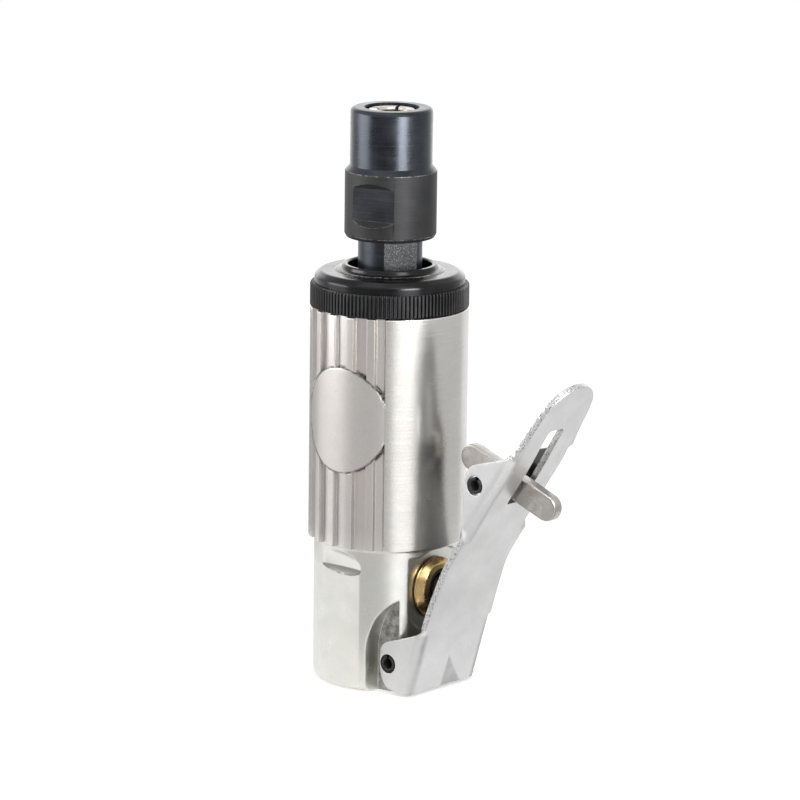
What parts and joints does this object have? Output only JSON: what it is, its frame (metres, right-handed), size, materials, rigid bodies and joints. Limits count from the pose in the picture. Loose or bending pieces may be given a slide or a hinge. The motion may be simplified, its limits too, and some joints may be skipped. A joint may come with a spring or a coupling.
{
  "type": "die grinder",
  "caption": "Small straight pneumatic die grinder with a collet nose, a knurled front clamp nut, a fluted metal housing and a safety-lock throttle lever.",
  "frame": {"origin": "middle of the bounding box in X and Y, at the plane of the rear face (z = 0) that the tool stands on; the tool axis is parallel to +Z at x = -0.0200 m", "axes": "+Z along the tool axis from the air inlet to the collet, +X towards the throttle lever, +Y completes the right-handed frame"},
  "size_m": [0.078, 0.0382, 0.1394],
  "materials": {
    "housing": "polished, ribs and rear matt",
    "clamp_cap": "black oxide",
    "front_end_plate": "ground",
    "rear_end_plate": "ground",
    "motor_cylinder": "ground",
    "locating_pin": "ground",
    "rotor": "ground",
    "vane_1": "phenolic",
    "vane_2": "phenolic",
    "vane_3": "phenolic",
    "vane_4": "phenolic",
    "front_bearing_outer": "ground",
    "front_bearing_inner": "ground",
    "front_bearing_balls": "ground",
    "rear_bearing_outer": "ground",
    "rear_bearing_inner": "ground",
    "rear_bearing_balls": "ground",
    "bearing_spacer": "ground",
    "collet_body": "turned",
    "collet": "ground",
    "collet_nut": "black oxide",
    "inlet_bushing": "turned",
    "inlet_screen": "woven",
    "exhaust_grille": "black",
    "grille_screw_1": "plated",
    "grille_screw_2": "plated",
    "muffler_pad": "felt",
    "valve_bushing": "turned, nickel-tinted",
    "valve_bushing_oring": "matt",
    "valve_stem": "ground",
    "valve_spring": "wire",
    "lever": "bright plated",
    "lever_pin": "black oxide",
    "lock_bar": "bright plated",
    "lock_pin": "black oxide",
    "lock_spring": "black wire"
  },
  "bodies": {
    "body": {"housing": "housing", "clamp_cap": "clamp_cap", "front_end_plate": "front_end_plate", "rear_end_plate": "rear_end_plate", "motor_cylinder": "motor_cylinder", "locating_pin": "locating_pin", "front_bearing_outer": "front_bearing_outer", "rear_bearing_outer": "rear_bearing_outer", "inlet_bushing": "inlet_bushing", "inlet_screen": "inlet_screen", "exhaust_grille": "exhaust_grille", "grille_screw_1": "grille_screw_1", "grille_screw_2": "grille_screw_2", "muffler_pad": "muffler_pad", "valve_bushing": "valve_bushing", "valve_bushing_oring": "valve_bushing_oring", "valve_spring": "valve_spring", "lever_pin": "lever_pin"},
    "spindle": {"rotor": "rotor", "vane_1": "vane_1", "vane_2": "vane_2", "vane_3": "vane_3", "vane_4": "vane_4", "front_bearing_inner": "front_bearing_inner", "rear_bearing_inner": "rear_bearing_inner", "bearing_spacer": "bearing_spacer", "collet_body": "collet_body"},
    "front_cage": {"front_bearing_balls": "front_bearing_balls"},
    "rear_cage": {"rear_bearing_balls": "rear_bearing_balls"},
    "collet": {"collet": "collet"},
    "nut": {"collet_nut": "collet_nut"},
    "valve": {"valve_stem": "valve_stem"},
    "lever": {"lever": "lever", "lock_pin": "lock_pin", "lock_spring": "lock_spring"},
    "lock": {"lock_bar": "lock_bar"}
  },
  "joints": [
    {"name": "spindle_spin", "type": "hinge", "parent": "body", "child": "spindle", "pos_m": [-0.02003, 0, 0.07], "axis": [0, 0, 1], "continuous": true},
    {"name": "front_cage_spin", "type": "hinge", "parent": "body", "child": "front_cage", "pos_m": [-0.02003, 0, 0.0815], "axis": [0, 0, 1], "continuous": true},
    {"name": "rear_cage_spin", "type": "hinge", "parent": "body", "child": "rear_cage", "pos_m": [-0.02003, 0, 0.044], "axis": [0, 0, 1], "continuous": true},
    {"name": "nut_turn", "type": "hinge", "parent": "collet", "child": "nut", "pos_m": [-0.02003, 0, 0.118], "axis": [0, 0, 1], "range_deg": [0, 360.5]},
    {"name": "collet_lift", "type": "slide", "parent": "spindle", "child": "collet", "axis": [0, 0, 1], "range_m": [0, 0.001]},
    {"name": "lever_press", "type": "hinge", "parent": "body", "child": "lever", "pos_m": [-0.00822, 0, 0.0074], "axis": [0, -1, 0], "range_deg": [0, 7], "stiffness_Nm_per_rad": 0.6, "springref_deg": -14.32},
    {"name": "lock_turn", "type": "hinge", "parent": "lever", "child": "lock", "pos_m": [0.01657, 0, 0.055], "axis": [0, -1, 0], "range_deg": [0, 52.2]},
    {"name": "valve_travel", "type": "slide", "parent": "body", "child": "valve", "axis": [-1, 0, 0], "range_m": [0, 0.0022], "deforming": ["valve_spring"]}
  ],
  "couplings": [
    {"joint": "front_cage_spin", "follows": "spindle_spin", "ratio": 0.36778},
    {"joint": "rear_cage_spin", "follows": "spindle_spin", "ratio": 0.36},
    {"joint": "nut_turn", "follows": "collet_lift", "rad_per_m": 6283.2},
    {"joint": "lock_turn", "follows": "lever_press", "ratio": 7.4286},
    {"joint": "valve_travel", "follows": "lever_press", "m_per_rad": 0.0172}
  ]
}
